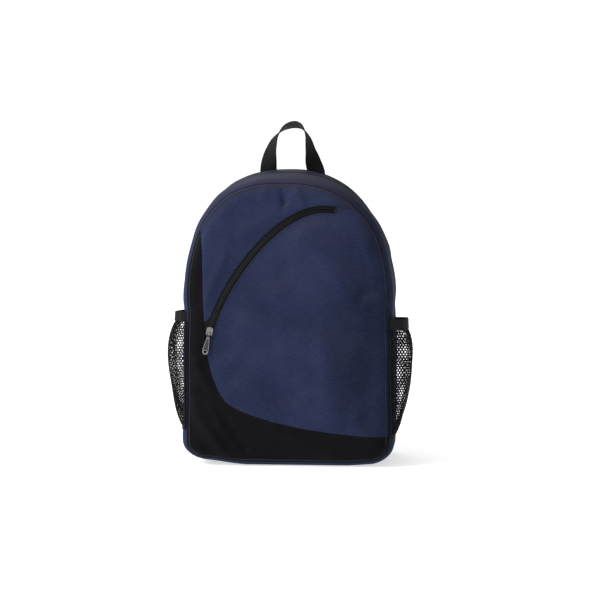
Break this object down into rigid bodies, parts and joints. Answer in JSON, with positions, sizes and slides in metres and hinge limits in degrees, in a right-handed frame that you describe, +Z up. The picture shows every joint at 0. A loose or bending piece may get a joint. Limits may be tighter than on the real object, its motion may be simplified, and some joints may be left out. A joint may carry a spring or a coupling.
{
  "type": "school backpack",
  "caption": "Arched school backpack with zipped main and front pockets, side mesh pockets, haul loop and padded shoulder straps.",
  "frame": {"origin": "centre of the bag's bounding box on the floor it stands on", "axes": "+Z up, -Y out of the front panel, +X to the right of someone facing it"},
  "size_m": [0.3494, 0.196, 0.487],
  "materials": {
    "navy_cloth": "woven, coated inside",
    "black_cloth": "woven, coated inside",
    "lining": "plain woven lining",
    "zip_tape": "knitted tape",
    "zip_coil": "nylon coil",
    "zip_metal": "dark nickel plate",
    "mesh": "open knitted mesh",
    "elastic": "ribbed elastic",
    "webbing": "ribbed webbing",
    "foam": "soft closed-cell foam",
    "strap_cover": "woven cover with mesh underside",
    "buckle": "moulded acetal"
  },
  "bodies": {
    "bag": {"rear_gusset": "navy_cloth", "lower_gusset": "navy_cloth", "front_panel_main_base": "navy_cloth", "front_panel_black_base": "black_cloth", "back_panel": "black_cloth", "strap_yoke": "black_cloth", "strap_anchor_left": "black_cloth", "strap_anchor_right": "black_cloth", "front_pocket_lining_base": "lining", "back_lining": "lining", "rear_seam_binding": "lining", "main_zip_tape_rear": "zip_tape", "main_zip_front_end_tape": "zip_tape", "main_zip_coil_rear": "zip_coil", "main_zip_front_end_coil": "zip_coil", "mesh_pocket_left": "mesh", "mesh_pocket_right": "mesh", "pocket_elastic_left": "elastic", "pocket_elastic_right": "elastic", "strap_webbing_left": "webbing", "strap_webbing_right": "webbing", "back_foam": "foam", "shoulder_strap_left": "strap_cover", "shoulder_strap_right": "strap_cover", "ladder_lock_left": "buckle", "ladder_lock_right": "buckle"},
    "front": {"front_gusset": "navy_cloth", "front_panel_upper": "navy_cloth", "front_panel_main": "navy_cloth", "front_panel_black": "black_cloth", "front_pocket_lining": "lining", "front_zip_tape": "zip_tape", "front_zip_coil": "zip_coil", "front_zip_stops": "zip_metal", "main_zip_tape_front": "zip_tape", "main_zip_coil_front": "zip_coil", "front_seam_binding": "lining"},
    "front_slider": {"front_zip_slider": "zip_metal"},
    "front_pull": {"front_zip_pull": "zip_metal"},
    "main_slider": {"main_zip_slider": "zip_metal"},
    "main_pull": {"main_zip_pull": "zip_metal"},
    "haul_loop": {"haul_loop": "webbing"}
  },
  "joints": [
    {"name": "front_fold", "type": "hinge", "parent": "bag", "child": "front", "pos_m": [0, -0.00095, 0.223], "axis": [1, 0, 0], "range_deg": [0, 30], "deforming": ["lower_gusset", "front_panel_main_base", "front_panel_black_base", "front_pocket_lining_base", "pocket_elastic_right", "mesh_pocket_right"]},
    {"name": "front_slider_run", "type": "hinge", "parent": "front", "child": "front_slider", "pos_m": [0.1069, -0.09295, 0.149], "axis": [0, 1, 0], "range_deg": [0, 66]},
    {"name": "front_pull_lift", "type": "hinge", "parent": "front_slider", "child": "front_pull", "pos_m": [-0.11033, -0.0961, 0.19478], "axis": [-0.9785, 0, 0.2062], "range_deg": [0, 150]},
    {"name": "main_slider_run", "type": "hinge", "parent": "bag", "child": "main_slider", "pos_m": [0, -0.00095, 0.263], "axis": [0, 1, 0], "range_deg": [0, 203]},
    {"name": "main_pull_lift", "type": "hinge", "parent": "main_slider", "child": "main_pull", "pos_m": [-0.15204, -0.00095, 0.23207], "axis": [0, 1, 0], "range_deg": [0, 145], "deforming": ["pocket_elastic_left", "mesh_pocket_left"]},
    {"name": "haul_fold", "type": "hinge", "parent": "bag", "child": "haul_loop", "pos_m": [0, 0.04015, 0.415], "axis": [1, 0, 0], "range_deg": [-80, 65]}
  ]
}
